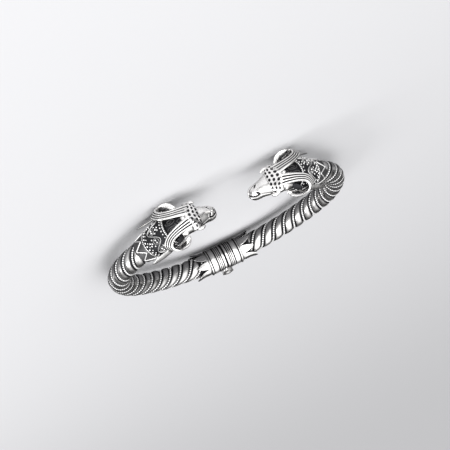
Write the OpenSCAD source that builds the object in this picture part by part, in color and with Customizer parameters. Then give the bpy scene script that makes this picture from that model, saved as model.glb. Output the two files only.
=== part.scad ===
/* [Ring] */
// Radius of the centre line across the back, where the barrel sits
back_r = 32; // [31:0.5:33]
// Angle that the back arc turns through on each half
back_turn = 53; // [51:1:55]
// Radius of the centre line round the side bend
bend_r = 22; // [21:0.5:23]
// Angle that the side bend turns through before the neck runs straight
bend_turn = 84; // [80:1:86]
// Distance from the ring's middle to the centre line at the back
half_depth = 24; // [23:0.5:25]
// Tip that the bracelet takes when it lies on its side, resting on horns and hinge
rest_tilt = 2; // [0:0.1:3]

/* [Rope] */
// Radius over the crowns of the twisted bands
rope_r = 2.78; // [2.6:0.02:2.9]
// Depth of the grooves between the bands
groove_depth = 0.62; // [0.5:0.02:0.7]
// Length along the arm in which a band goes once round
rope_lead = 11; // [10:0.25:12]
// Bands wound side by side
rope_starts = 3; // [3:1:4]
// Angle of the first groove of the left arm where the arm leaves the hinge
left_phase = 54; // [0:1:119]
// The same angle on the right arm
right_phase = 106; // [0:1:119]
// Radius of the fine wire laid in each groove
wire_r = 0.27; // [0.2:0.01:0.3]

/* [Barrel] */
// Length of one half of the barrel
barrel_half = 4.85; // [4.6:0.05:5.2]
// Radius of the barrel's plain bands
barrel_r = 3.4; // [3.3:0.02:3.5]
// Leaves in the collar at each end of the barrel
leaf_count = 8; // [7:1:9]
// Length of a leaf along the rope
leaf_len = 3.4; // [3:0.1:3.8]

/* [Hinge] */
// Distance of the pin from the barrel's axis, on the outer side
hinge_out = 4.1; // [4:0.05:4.3]
// Radius of the knuckles
knuckle_r = 1.6; // [1.5:0.05:1.7]
// Radius of the pin
pin_r = 0.6; // [0.5:0.02:0.65]
// Height of the hinge above and below the ring's plane
hinge_half_h = 3.75; // [3.6:0.05:4]

/* [Ram heads] */
// Length of the bell-shaped neck socket
neck_len = 10.9; // [10.6:0.1:10.9]
// Largest radius of the neck socket
neck_r = 3.95; // [3.8:0.05:4.1]
// Teeth in the collar on the end of the rope
tooth_count = 7; // [6:1:8]
// Thickness of a horn
horn_thick = 0.62; // [0.5:0.02:0.7]

/* [Hidden] */
left = 1;
right = -1;
back_len = back_r * back_turn * PI / 180;
bend_len = bend_r * bend_turn * PI / 180;
neck_s = back_len + bend_len;
neck_heading = back_turn + bend_turn;
stations_per_lead = 11;
piece_gap = 0.05;
rope_from = 5.45;
neck_back = 0.1;
rope_to = neck_s + 1.2;
// The barrel is straight, so it sits a little inside the top of the back arc
barrel_sag = 0.19;
split_gap = 0.06;
// Row origin: under the middle of the whole bracelet, at the height it rests on
origin_y = 0.82;
origin_z = 5.02;

// Heading of the centre line, as degrees turned from the back
function heading(s) = s < back_len ? s / back_r * 180 / PI
    : s < neck_s ? back_turn + (s - back_len) / bend_r * 180 / PI
    : neck_heading;
function round_arc(from, r, h0, h1) = from + r * ([sin(h1), cos(h1)] - [sin(h0), cos(h0)]);
back_end = round_arc([0, half_depth], back_r, 0, back_turn);
neck_start = round_arc(back_end, bend_r, back_turn, neck_heading);
// Point of the centre line at a length s from the hinge
function centre(s) = s < back_len ? round_arc([0, half_depth], back_r, 0, heading(s))
    : s < neck_s ? round_arc(back_end, bend_r, back_turn, heading(s))
    : neck_start + (s - neck_s) * [cos(neck_heading), -sin(neck_heading)];
// Point at radius u and angle t about the centre line, t = 0 outwards and t = 90 up
function around(s, u, t, side) = let (c = centre(s), h = heading(s), out = u * cos(t))
    [side * (c[0] + out * sin(h)), c[1] + out * cos(h), u * sin(t)];

function unit(v) = v / norm(v);

// Triangles of the wall of a tube of rings; a tube whose rings run clockwise is turned inside out,
// and its squares are split the other way, so that left and right ropes are cut along their bands
function wall_faces(rings, sides, steps, inside_out) = [for (i = [0:steps - 1], j = [0:sides - 1]) let (
    a = i * sides + j, b = i * sides + (j + 1) % sides,
    d = (i + 1) % rings * sides + j, c = (i + 1) % rings * sides + (j + 1) % sides)
    each inside_out ? [[a, b, d], [b, c, d]] : [[a, c, b], [a, d, c]]];
// The same with both ends closed by fans from the end rings' middles
function tube_faces(rings, sides, inside_out) = let (
    last = rings - 1,
    first_mid = rings * sides,
    last_mid = first_mid + 1,
    caps = [for (j = [0:sides - 1]) let (k = (j + 1) % sides)
        each [[first_mid, j, k], [last_mid, last * sides + k, last * sides + j]]])
    concat(wall_faces(rings, sides, last, inside_out),
           inside_out ? [for (f = caps) [f[0], f[2], f[1]]] : caps);
function middle(ring) = [for (k = [0:2]) [for (p = ring) 1] * [for (p = ring) p[k]] / len(ring)];
module tube(rings, inside_out = false) {
    points = concat([for (r = rings) each r], [middle(rings[0]), middle(rings[len(rings) - 1])]);
    polyhedron(points, tube_faces(len(rings), len(rings[0]), inside_out), convexity = 10);
}
// Tube whose last ring joins its first
module loop_tube(rings) {
    n = len(rings);
    polyhedron([for (r = rings) each r], wall_faces(n, len(rings[0]), n, false), convexity = 10);
}

// Value of a table's column at a place t along its rows, along a smooth curve through them
function smooth(a, b, c, d, t) = 0.5 * (2 * b + (c - a) * t + (2 * a - 5 * b + 4 * c - d) * t * t
    + (3 * b - a - 3 * c + d) * t * t * t);
function row_at(table, t) = let (
    n = len(table), i = min(floor(t), n - 2), f = t - i,
    p = table[max(i - 1, 0)], q = table[i], r = table[i + 1], s = table[min(i + 2, n - 1)])
    [for (k = [0:len(q) - 1]) smooth(p[k], q[k], r[k], s[k], f)];

// Rope: outline of one band from groove to groove, as angle from its crown and drop below it
edge_drop = 0.14;
band_outline = [[-47, groove_depth], [-38, edge_drop], [-21, edge_drop / 5], [0, 0],
                [21, edge_drop / 5], [38, edge_drop], [47, groove_depth]];
function groove_angle(s, side) = (side > 0 ? left_phase : right_phase) - side * 360 * s / rope_lead;
function stations(from, to) = let (n = round((to - from) / rope_lead * stations_per_lead))
    [for (i = [0:n]) from + (to - from) * i / n];
band_angle = 360 / rope_starts;

module rope(side) {
    rings = [for (s = stations(rope_from, rope_to))
        [for (k = [0:rope_starts - 1], p = band_outline)
            around(s, rope_r - p[1],
                   groove_angle(s, side) + band_angle * (k + 0.5) + p[0] * band_angle / 120, side)]];
    color("silver") tube(rings, side < 0);
}

// Fine wire laid in a groove, five sides square to its own run
wire_sides = 5;
wire_orbit = rope_r - groove_depth + wire_r + 0.05;
module groove_wire(side, k) {
    step = 0.05;
    rings = [for (s = stations(rope_from + 0.1, rope_to - 0.3)) let (
        t = groove_angle(s, side) + band_angle * k,
        turn = side * 360 * step / rope_lead,
        p = around(s, wire_orbit, t, side),
        run = unit(around(s + step, wire_orbit, t - turn, side) - around(s - step, wire_orbit, t + turn, side)),
        out = unit(p - around(s, 0, t, side)),
        across = cross(run, out))
        [for (j = [0:wire_sides - 1]) let (w = 360 * j / wire_sides)
            p + wire_r * (cos(w) * out + sin(w) * across)]];
    tube(rings);
}
module groove_wires(side) {
    color("gainsboro") for (k = [0:rope_starts - 1]) groove_wire(side, k);
}

// Puts a shape drawn about the X axis at a station of the left arm, X running along the arm
module on_arm(s) {
    c = centre(s);
    translate([c[0], c[1], 0]) rotate([0, 0, -heading(s)]) children();
}
// Turns an outline of [length, radius] points about the X axis
module turned(outline) {
    rotate([0, 90, 0]) rotate([0, 0, 180]) rotate_extrude($fn = 96) polygon([for (p = outline) [p[1], p[0]]]);
}
module mirrored(side) {
    mirror([side < 0 ? 1 : 0, 0, 0]) children();
}

// Barrel: wires and bands turned in one piece with its tube
function bead_arc(x, base, r) = [for (t = [180:-30:0]) [x + r * cos(t), base + r * sin(t)]];
function crowned(x0, x1, base, rise) = [for (i = [0:6]) let (f = i / 6)
    [x0 + (x1 - x0) * f, base + rise * 4 * f * (1 - f)]];
ridge_wire_r = 0.2;
rim_wire_r = 0.28;
groove_floor = barrel_r - 0.22;
barrel_outline = concat(
    [[split_gap, 0], [split_gap, barrel_r - 0.12], [split_gap + 0.12, barrel_r], [0.92, barrel_r]],
    [for (x = [1.2, 1.68, 2.16]) each bead_arc(x, barrel_r - 0.1, ridge_wire_r)],
    [[2.44, groove_floor]],
    crowned(2.5, 3.98, barrel_r - 0.04, 0.12),
    [[4.04, groove_floor]],
    bead_arc(4.36, barrel_r - 0.06, rim_wire_r),
    [[4.68, groove_floor], [barrel_half, groove_floor], [barrel_half, 0]]);

// Hinge: knuckles stacked up the pin, two on the left half and one between them on the right
hinge_y = half_depth - barrel_sag + hinge_out;
mid_knuckle_half = 1.35;
knuckle_gap = 0.08;
pocket_r = knuckle_r + 0.14;
lug_root_y = half_depth + 0.6;
function knuckle_spans(side) = side > 0
    ? [[mid_knuckle_half + knuckle_gap / 2, hinge_half_h], [-hinge_half_h, -mid_knuckle_half - knuckle_gap / 2]]
    : [[-mid_knuckle_half + knuckle_gap / 2, mid_knuckle_half - knuckle_gap / 2]];
module knuckle(side, z0, z1) {
    translate([0, hinge_y, z0]) cylinder(r = knuckle_r, h = z1 - z0, $fn = 48);
    translate([side > 0 ? split_gap : -knuckle_r, lug_root_y, z0])
        cube([knuckle_r - split_gap, hinge_y - lug_root_y, z1 - z0]);
}
module barrel(side) {
    bore = side > 0 ? pin_r + 0.02 : pin_r + 0.05;
    color("silver") difference() {
        union() {
            difference() {
                translate([0, half_depth - barrel_sag, 0]) mirrored(side) turned(barrel_outline);
                for (z = knuckle_spans(-side)) {
                    translate([0, hinge_y, z[0] - knuckle_gap])
                        cylinder(r = pocket_r, h = z[1] - z[0] + 2 * knuckle_gap, $fn = 48);
                }
            }
            for (z = knuckle_spans(side)) knuckle(side, z[0], z[1]);
        }
        translate([0, hinge_y, -hinge_half_h - 1]) cylinder(r = bore, h = 2 * hinge_half_h + 2, $fn = 48);
    }
}
pin_head_r = 1.0;
pin_head_h = 0.25;
module hinge_pin() {
    color("gainsboro") translate([0, hinge_y, 0]) {
        cylinder(r = pin_r, h = 2 * hinge_half_h + 0.1, center = true, $fn = 48);
        for (up = [0, 180]) rotate([up, 0, 0]) translate([0, 0, hinge_half_h + 0.02])
            cylinder(r1 = pin_head_r, r2 = pin_head_r * 0.7, h = pin_head_h, $fn = 48);
    }
}

// Cuts leaves or teeth out of a turned shell: outline of one leaf as [length, half width]
module leaf_prism(outline, reach) {
    points = concat(outline, [for (i = [len(outline) - 1:-1:0]) [outline[i][0], -outline[i][1]]]);
    linear_extrude(reach) polygon([for (i = [0:len(points) - 1]) if (i == 0 || points[i] != points[i - 1]) points[i]]);
}
module leaf_ring(count, shell, leaf, base) {
    intersection() {
        turned(shell);
        union() {
            for (i = [0:count - 1]) rotate([360 * (i + 0.5) / count, 0, 0]) leaf_prism(leaf, 8);
            translate([-2, 0, 0]) rotate([0, 90, 0]) cylinder(r = 8, h = base + 2, $fn = 48);
        }
    }
}
leaf_wall = 0.3;
leaf_inner = rope_r + 0.15;
leaf_shell = [[-1.2, leaf_inner], [1.2, leaf_inner + 0.06], [2.2, leaf_inner + 0.2], [leaf_len, leaf_inner + 0.5],
              [leaf_len, leaf_inner + 0.5 + leaf_wall], [2.2, leaf_inner + 0.2 + leaf_wall],
              [1.2, leaf_inner + 0.06 + leaf_wall], [-1.2, leaf_inner + leaf_wall]];
leaf_half_w = 1.2;
leaf = [[-1.3, leaf_half_w], [1.0, leaf_half_w], [1.7, leaf_half_w * 0.93], [2.3, leaf_half_w * 0.76],
        [2.8, leaf_half_w * 0.48], [leaf_len - 0.15, leaf_half_w * 0.1]];
module leaf_collar(side) {
    color("silver") mirrored(side) intersection() {
        on_arm(rope_from) leaf_ring(leaf_count, leaf_shell, leaf, 0.3);
        translate([barrel_half + piece_gap, 0, -20]) cube(40);
    }
}

// Neck socket: a bell with wire borders over the end of the rope
neck_start_r = 3.0;
neck_mid_r = 3.28;
border_wire_r = 0.26;
bore_r = rope_r + 0.1;
tooth_back = 0.3;
tooth_front = 2.9;
neck_outline = concat(
    [[-neck_back, bore_r], [-neck_back, neck_start_r], [tooth_front + 0.25, neck_mid_r]],
    bead_arc(tooth_front + 0.55, neck_mid_r + 0.02, border_wire_r),
    [[tooth_front + 0.85, neck_mid_r + 0.06], [5.4, neck_r - 0.18], [6.6, neck_r - 0.08],
     [8.4, neck_r - 0.14], [neck_len - 0.7, neck_r - 0.36]],
    bead_arc(neck_len - 0.35, neck_r - 0.42, border_wire_r),
    [[neck_len, neck_r - 0.46], [neck_len, 0], [rope_to - neck_s + piece_gap, 0], [rope_to - neck_s + piece_gap, bore_r]]);
module neck(side) {
    color("dimgray") mirrored(side) on_arm(neck_s) turned(neck_outline);
}

// Zigzag wire on the narrow end of the neck socket, its points towards the rope
tooth_wire_r = 0.24;
module tooth_collar(side) {
    corners = 4 * tooth_count;
    function tooth_point(i) = let (
        f = [0, 0.5, 1, 0.5][(i + corners) % 4],
        x = tooth_back + (tooth_front - tooth_back) * f,
        u = neck_start_r + (neck_mid_r - neck_start_r) * (x + neck_back) / (tooth_front + neck_back) + tooth_wire_r + 0.05,
        t = 360 * (i + 0.5) / corners)
        [x, u * cos(t), u * sin(t)];
    rings = [for (i = [0:corners - 1]) let (
        p = tooth_point(i),
        run = unit(tooth_point(i + 1) - tooth_point(i - 1)),
        spoke = unit([0, p[1], p[2]]),
        out = unit(spoke - (spoke * run) * run),
        across = cross(run, out))
        [for (j = [0:wire_sides - 1]) let (w = 360 * j / wire_sides)
            p + tooth_wire_r * (cos(w) * out + sin(w) * across)]];
    color("silver") mirrored(side) on_arm(neck_s) loop_tube(rings);
}

// Ram's head, drawn with X along the neck, Y out of the ring and Z across
// Skull and muzzle: place, downward pitch, height above and below the spine, half width
skull = [
    [10.98, -0.1, 0, 3.3, 3.3, 3.25],
    [12.4, -0.6, 24, 3.1, 3.3, 3.1],
    [13.6, -1.1, 42, 3.4, 3.3, 3.05],
    [14.6, -2.3, 64, 3.0, 3.0, 2.95],
    [15.5, -4.0, 75, 2.4, 2.4, 2.45],
    [16.2, -5.6, 77, 1.9, 1.9, 2.0],
    [16.6, -7.0, 80, 1.6, 1.6, 1.85],
    [16.8, -8.0, 84, 1.3, 1.3, 1.55],
    [16.9, -8.6, 86, 0.7, 0.7, 0.85]];
function skull_point(t, a, grow) = let (r = row_at(skull, t), p = r[2],
    h = (cos(a) > 0 ? r[3] : r[4]) + grow, w = r[5] + grow)
    [r[0] + h * cos(a) * sin(p), r[1] + h * cos(a) * cos(p), w * sin(a)];
skull_sides = 16;
module skull_body() {
    tube([for (t = [0:0.75:len(skull) - 1])
        [for (j = [0:skull_sides - 1]) skull_point(t, 360 * j / skull_sides, 0)]]);
}
// Plate across the poll, from brow to brow: width off the middle, place of its rear and front edge
band_rows = [
    [0, 16.9, 2.1, 17.7, -1.9],
    [1.3, 17.0, 1.7, 17.6, -2.0],
    [2.6, 16.9, 0.8, 17.1, -2.1],
    [3.4, 16.3, 0.1, 16.5, -1.9]];
module poll_band() {
    last = len(band_rows) - 1;
    tube([for (k = [-last:last]) let (r = band_rows[abs(k)], z = sign(k) * r[0])
        [[r[1] - 0.9, r[2], z], [r[1], r[2], z], [(r[1] + r[3]) / 2 + 0.3, (r[2] + r[4]) / 2, z],
         [r[3], r[4], z], [r[3] - 0.9, r[4], z]]], true);
}
// Horn, a ribbon between two edges: places of its outer edge and of the edge nearer the crown.
// It runs back from the poll, turns down beside the ear and comes forward to the cheek
horn_rows = [
    [17.3, 0.2, 2.6, 17.0, 2.0, 0.1],
    [15.6, 1.7, 2.75, 15.4, 3.0, 0.65],
    [13.8, 3.1, 3.1, 13.3, 3.95, 1.3],
    [12.0, 3.9, 3.75, 11.1, 4.6, 2.2],
    [10.9, 3.6, 4.75, 9.3, 4.2, 3.4],
    [10.9, 2.6, 5.55, 8.9, 2.7, 4.2],
    [11.6, 1.5, 5.9, 9.9, 0.7, 4.3],
    [12.6, 0.2, 5.65, 11.5, -0.5, 3.8],
    [13.0, -0.9, 4.7, 12.4, -1.1, 3.3],
    [12.8, -1.5, 3.8, 12.6, -1.5, 3.3]];
// Section of the ribbon, as share of its width and of its thickness: four ridges outside, hollow inside
horn_outline = [[0, 0], [0.06, 0.6], [0.14, 1], [0.26, 0.45], [0.38, 1], [0.5, 0.45], [0.62, 1], [0.74, 0.45],
                [0.86, 1], [0.95, 0.6], [1, 0], [0.8, -0.7], [0.5, -0.9], [0.2, -0.7]];
horn_steps = 18;
module horn() {
    ends = len(horn_rows) - 1;
    function edge(t, from) = let (r = row_at(horn_rows, t)) [r[from], r[from + 1], r[from + 2]];
    tube([for (i = [0:horn_steps]) let (
        t = ends * i / horn_steps,
        p = edge(t, 0),
        width = edge(t, 3) - p,
        run = edge(min(t + 0.1, ends), 0) + edge(min(t + 0.1, ends), 3)
            - edge(max(t - 0.1, 0), 0) - edge(max(t - 0.1, 0), 3),
        out = unit(cross(width, run)))
        [for (q = horn_outline) p + q[0] * width + q[1] * horn_thick / 2 * out]]);
}
module blob(p, q, r0, r1) {
    hull() {
        translate(p) sphere(r = r0, $fn = 8);
        translate(q) sphere(r = r1, $fn = 8);
    }
}
// Leaf at the side of the neck, its tip standing out backwards
module side_leaf() {
    hull() {
        translate([8.2, 1.2, 4.1]) scale([1, 1, 0.5]) sphere(r = 0.55, $fn = 8);
        translate([5.0, 1.5, 4.5]) scale([1.6, 1.5, 0.5]) sphere(r = 0.5, $fn = 8);
        translate([2.2, 1.5, 4.6]) sphere(r = 0.18, $fn = 8);
    }
}
module head_side() {
    horn();
    side_leaf();
    blob([9.6, 2.6, 4.75], [8.4, 1.5, 4.4], 0.32, 0.35);
    // Ear inside the curl, brow over the eye, eye
    blob([12.4, 0.7, 2.8], [10.8, 1.4, 4.2], 0.8, 0.42);
    blob([15.9, -1.0, 3.0], [16.7, -2.3, 3.25], 0.5, 0.42);
    blob([15.2, -3.0, 2.8], [15.6, -3.3, 2.9], 0.5, 0.42);
}
module ram_head(side) {
    color("silver") mirrored(side) on_arm(neck_s) union() {
        difference() {
            skull_body();
            // Mouth
            translate([16.15, -9, -2.5]) rotate([0, 0, 6]) cube([0.3, 2.6, 5]);
        }
        poll_band();
        for (flip = [0, 1]) mirror([0, 0, flip]) head_side();
        // Knob where the horns meet over the poll
        blob([16.3, 1.5, 0], [15.3, 2.1, 0], 0.85, 0.6);
    }
}

// Lays the bracelet on its side, where it rests
module placed() {
    translate([0, origin_y, origin_z]) rotate([-rest_tilt, 0, 0]) children();
}

placed() barrel(left);  // barrel_left
placed() barrel(right);  // barrel_right
placed() hinge_pin();
placed() leaf_collar(left);  // leaf_collar_left
placed() leaf_collar(right);  // leaf_collar_right
placed() rope(left);  // rope_left
placed() rope(right);  // rope_right
placed() groove_wires(left);  // groove_wires_left
placed() groove_wires(right);  // groove_wires_right
placed() tooth_collar(left);  // tooth_collar_left
placed() tooth_collar(right);  // tooth_collar_right
placed() neck(left);  // neck_left
placed() neck(right);  // neck_right
placed() ram_head(left);  // ram_head_left
placed() ram_head(right);  // ram_head_right
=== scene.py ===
"""Looks of a hinged silver torc bracelet: twisted rope arms, a barrel hinge and two rams' heads.

Lengths inside the classes are millimetres in the plane of the ring: X to the left arm's side, Y
towards the hinge, Z up. ArmPath.place() brings them to the frame of the CAD part, in metres.
"""

import logging
import math
from dataclasses import dataclass
from enum import Enum
from functools import lru_cache
from typing import ClassVar

import bpy
import numpy as np
from mathutils import Matrix, Vector


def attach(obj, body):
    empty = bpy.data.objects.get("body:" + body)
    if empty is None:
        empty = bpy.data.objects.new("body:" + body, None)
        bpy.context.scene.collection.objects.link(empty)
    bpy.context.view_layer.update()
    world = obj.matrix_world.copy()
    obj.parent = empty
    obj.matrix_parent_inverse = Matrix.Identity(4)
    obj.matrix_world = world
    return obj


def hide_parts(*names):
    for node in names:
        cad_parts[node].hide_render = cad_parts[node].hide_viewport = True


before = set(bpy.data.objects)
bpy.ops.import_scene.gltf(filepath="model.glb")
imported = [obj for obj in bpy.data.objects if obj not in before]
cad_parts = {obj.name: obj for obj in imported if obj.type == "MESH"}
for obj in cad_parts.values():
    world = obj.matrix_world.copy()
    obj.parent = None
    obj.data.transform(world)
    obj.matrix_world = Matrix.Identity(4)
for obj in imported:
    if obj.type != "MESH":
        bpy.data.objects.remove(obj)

LOG = logging.getLogger("bracelet")
MM = 0.001
TURN = 2 * math.pi
TINY = 1e-9
LEAST_LENGTH = 1e-12
# Least squared distance, in square millimetres, that shelter is counted at
NEAREST_SQUARED = 1e-4

TURNED_SIDES = 96
# Latitudes of a granule's rows in degrees
BALL_ROWS = (-50, 0, 50)
# Beaded wire: points in a ring, rings in a bead, share of the squared radius that is lost between
# two beads, darkness there, and the shares of the radius at which the darkness begins and is full
BEAD_SIDES = 8
BEAD_RINGS = 5
BEAD_WAIST = 0.72
BEAD_TONE = 0.95
BEAD_TONE_SPAN = (0.97, 0.7)
# Corners that crevice_oxide_and_shade() works out at a time
BATCH = 1024


class Side(Enum):
    """The two halves of the bracelet; the value is the sign of X on that half."""

    LEFT = 1
    RIGHT = -1

    @property
    def tag(self) -> str:
        """Ending of the names of this half's pieces."""
        return self.name.lower()

    @property
    def body(self) -> str:
        """CAD body that this half's pieces ride on."""
        return f"{self.tag}_half"


class ToneFrom(Enum):
    """Where a finish reads how dark the silver is at a place."""

    ATTRIBUTE = "attribute"
    BARREL_GROOVES = "barrel grooves"


# ---------------------------------------------------------------- curves and shells


def unit(v: np.ndarray) -> np.ndarray:
    """Vectors divided by their own length, along the last axis."""
    return v / np.maximum(np.linalg.norm(v, axis=-1, keepdims=True), LEAST_LENGTH)


def ease(low: float, high: float, x: np.ndarray) -> np.ndarray:
    """Smooth step: 0 below low, 1 above high, and 3 f^2 - 2 f^3 between, f the share of the way."""
    f = np.clip((x - low) / (high - low), 0, 1)
    return f * f * (3 - 2 * f)


def hill(x: np.ndarray, at: float, reach: np.ndarray | float) -> np.ndarray:
    """Bell-shaped curve exp(-((x - at) / reach)^2)."""
    return np.exp(-((x - at) / reach) ** 2)


def rounded(f: np.ndarray) -> np.ndarray:
    """Half circle over the shares f of a length, left a little open at its ends."""
    return np.sqrt(np.clip(1 - (2 * f - 1) ** 2, 0.01, 1))


def swell(f: np.ndarray, base: float, size: float, start: float, span: float,
          power: float) -> np.ndarray:
    """Swelling over the shares f of a length: base + size sin(pi (start + span f))^power."""
    return base + size * np.sin(math.pi * np.clip(start + span * f, 0, 1)) ** power


def circle(count: int) -> np.ndarray:
    """Angles of points spread evenly over a full turn."""
    return np.arange(count) * TURN / count


def about_x(x: np.ndarray, u: np.ndarray, t: np.ndarray) -> np.ndarray:
    """Points (x, u cos t, u sin t): length x along the X axis, radius u and angle t about it."""
    return np.stack([x + 0 * t, u * np.cos(t), u * np.sin(t)], -1)


def travelled(path: np.ndarray) -> np.ndarray:
    """Length of a path up to each of its points."""
    return np.concatenate([[0], np.cumsum(np.linalg.norm(np.diff(path, axis=0), axis=1))])


def along_rows(table: np.ndarray | tuple, t: np.ndarray) -> np.ndarray:
    """Smooth curve through a table's rows: the Catmull-Rom cubic of the four rows round a place.

    Args:
        table: Rows of values.
        t: Places along the rows, 0 at the first one.

    Returns:
        One row of values for each place.
    """
    rows = np.asarray(table, float)
    last = len(rows) - 1
    t = np.clip(np.asarray(t, float), 0, last)
    i = np.minimum(t.astype(int), last - 1)
    f = (t - i)[..., None]
    a, b, c, d = rows[np.maximum(i - 1, 0)], rows[i], rows[i + 1], rows[np.minimum(i + 2, last)]
    return 0.5 * (2 * b + (c - a) * f + (2 * a - 5 * b + 4 * c - d) * f**2
                  + (3 * b - a - 3 * c + d) * f**3)


def smooth(table: tuple, count: int) -> np.ndarray:
    """So many places of the smooth curve through a table's rows, from the first row to the last."""
    return along_rows(table, np.linspace(0, len(table) - 1, count))


@dataclass
class Shell:
    """A closed surface, or several, in millimetres.

    Attributes:
        points: Corners, one row each.
        quads: Four-sided faces as rows of corner numbers.
        tris: Three-sided faces.
        tone: Darkness of the silver at each corner, 0 polished and 1 black.
    """

    points: np.ndarray
    quads: np.ndarray
    tris: np.ndarray
    tone: np.ndarray

    def triangles(self) -> np.ndarray:
        """All faces as triangles: a quad is cut from its first to its third corner."""
        q = self.quads
        return np.concatenate([q[:, [0, 1, 2]], q[:, [0, 2, 3]], self.tris])

    def corners(self) -> list[np.ndarray]:
        """Points of the triangles' first, second and third corners."""
        return [self.points[k] for k in self.triangles().T]

    def moved(self, points: np.ndarray, way: int = 1) -> "Shell":
        """The same faces on other points, turned round where way is -1."""
        return Shell(points, self.quads[:, ::way], self.tris[:, ::way], self.tone)

    def outward(self) -> "Shell":
        """The shell with its faces turned outwards: turned round if its signed volume, a sixth of
        the sum of the corners' triple products, is below zero."""
        a, b, c = self.corners()
        inside_out = np.einsum("ij,ij->i", a, np.cross(b, c)).sum() < 0
        return self.moved(self.points, -1 if inside_out else 1)

    def mirrored_z(self) -> "Shell":
        """The shell's mirror image in the plane z = 0, faces still outwards."""
        return self.moved(self.points * [1, 1, -1], -1)

    def normals(self) -> np.ndarray:
        """Unit normals of the corners: the sum of the cross products of the triangles there."""
        a, b, c = self.corners()
        face = np.cross(b - a, c - a)
        total = np.zeros_like(self.points)
        for k in self.triangles().T:
            np.add.at(total, k, face)
        return unit(total)


def joined(shells: list[Shell]) -> Shell:
    """Several shells as one, corner numbers counted on."""
    starts = np.cumsum([0] + [len(s.points) for s in shells[:-1]])
    return Shell(np.concatenate([s.points for s in shells]),
                 np.concatenate([s.quads + k for s, k in zip(shells, starts)]),
                 np.concatenate([s.tris + k for s, k in zip(shells, starts)]),
                 np.concatenate([s.tone for s in shells]))


def tube(rings: np.ndarray, tone: np.ndarray | float = 0.0, loop: bool = False) -> Shell:
    """Wall of a tube through rings of points; its ends are closed by fans from their middles.

    Args:
        rings: Array of rings, points in a ring, 3.
        tone: Darkness, one value or one for each point of each ring.
        loop: Whether the last ring joins the first, so that there are no ends.

    Returns:
        The closed shell.
    """
    n, m = rings.shape[:2]
    i, j = np.meshgrid(np.arange(n if loop else n - 1), np.arange(m), indexing="ij")
    i2, j2 = (i + 1) % n, (j + 1) % m
    quads = np.stack([i * m + j, i * m + j2, i2 * m + j2, i2 * m + j], -1).reshape(-1, 4)
    points = rings.reshape(-1, 3)
    tones = np.broadcast_to(np.asarray(tone, float), (n, m)).reshape(-1)
    tris = np.zeros((0, 3), int)
    if not loop:
        k = np.arange(m)
        k2 = (k + 1) % m
        first, last = n * m, n * m + 1
        tris = np.concatenate([np.stack([np.full(m, first), k2, k], -1),
                               np.stack([np.full(m, last), (n - 1) * m + k, (n - 1) * m + k2], -1)])
        points = np.concatenate([points, rings[[0, -1]].mean(1)])
        ends = [part.mean(keepdims=True) for part in (tones[:m], tones[-m:])]
        tones = np.concatenate([tones, *ends])
    return Shell(points, quads, tris, tones).outward()


def carried(path: np.ndarray, out: np.ndarray | tuple, wide: np.ndarray | float,
            high: np.ndarray | float, sides: int, tone: np.ndarray | float = 0.0,
            loop: bool = False) -> Shell:
    """Ellipse carried along a path: point = path + wide cos a across + high sin a out.

    Args:
        path: Points of the path.
        out: Rough direction of the height, one or one for each point; made square to the run.
        wide: Half width across.
        high: Half height.
        sides: Points in each ring.
        tone: Darkness, one value or one for each ring.
        loop: Whether the path is closed.

    Returns:
        The closed shell.
    """
    out = np.asarray(out, float)
    run = unit(np.roll(path, -1, 0) - np.roll(path, 1, 0) if loop else np.gradient(path, axis=0))
    out = unit(out - (out * run).sum(-1, keepdims=True) * run)
    across = np.cross(run, out)
    wide, high, tone = (np.broadcast_to(np.asarray(v, float), len(path))[:, None]
                        for v in (wide, high, tone))
    a = circle(sides)
    rings = (path[:, None] + (wide * np.cos(a))[..., None] * across[:, None]
             + (high * np.sin(a))[..., None] * out[:, None])
    return tube(rings, tone + 0 * a, loop)


def beaded(path: np.ndarray, out: np.ndarray, radius: float, pitch: float,
           loop: bool = False) -> Shell:
    """Beaded wire. The radius is r sqrt(1 - waist f^2), f running from -1 to 1 over each bead, so
    beads touch at narrow necks, and the necks are dark.

    Args:
        path: Dense points of the wire's middle.
        out: Direction away from what it lies on, at each point.
        radius: Largest radius.
        pitch: Length of a bead; it is fitted to the wire's length.
        loop: Whether the wire is closed.

    Returns:
        The closed shell.
    """
    if loop:
        path, out = (np.concatenate([v, v[:1]]) for v in (path, out))
    far = travelled(path)
    steps = max(int(round(far[-1] / pitch)), 1) * BEAD_RINGS
    at = np.arange(steps + (0 if loop else 1)) / steps * far[-1]
    middle, away = (np.stack([np.interp(at, far, v[:, k]) for k in range(3)], -1)
                    for v in (path, out))
    f = 2 * (np.arange(len(at)) % BEAD_RINGS) / BEAD_RINGS - 1
    share = np.sqrt(1 - BEAD_WAIST * f * f)
    tone = BEAD_TONE * ease(*BEAD_TONE_SPAN, share)
    return carried(middle, away, radius * share, radius * share, BEAD_SIDES, tone, loop)


def balls(centres: np.ndarray, radii: np.ndarray | float, sides: int = 8) -> Shell:
    """Balls: c + r (cos b cos a, cos b sin a, sin b) at the latitudes b of BALL_ROWS, and poles.

    Args:
        centres: Middles of the balls.
        radii: Radius of each, or one for all.
        sides: Points in a ring.

    Returns:
        All balls as one shell.
    """
    a, b = circle(sides), np.radians(BALL_ROWS)[:, None]
    one = tube(np.stack([np.cos(b) * np.cos(a), np.cos(b) * np.sin(a), np.sin(b) + 0 * a], -1))
    one.points[-2:] = [[0, 0, -1], [0, 0, 1]]
    n, k = len(centres), len(one.points)
    grown = np.broadcast_to(radii, n)[:, None, None] * one.points
    points = (centres[:, None] + grown).reshape(-1, 3)
    step = (np.arange(n) * k)[:, None, None]
    return Shell(points, (one.quads + step).reshape(-1, 4), (one.tris + step).reshape(-1, 3),
                 np.zeros(n * k))


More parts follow.
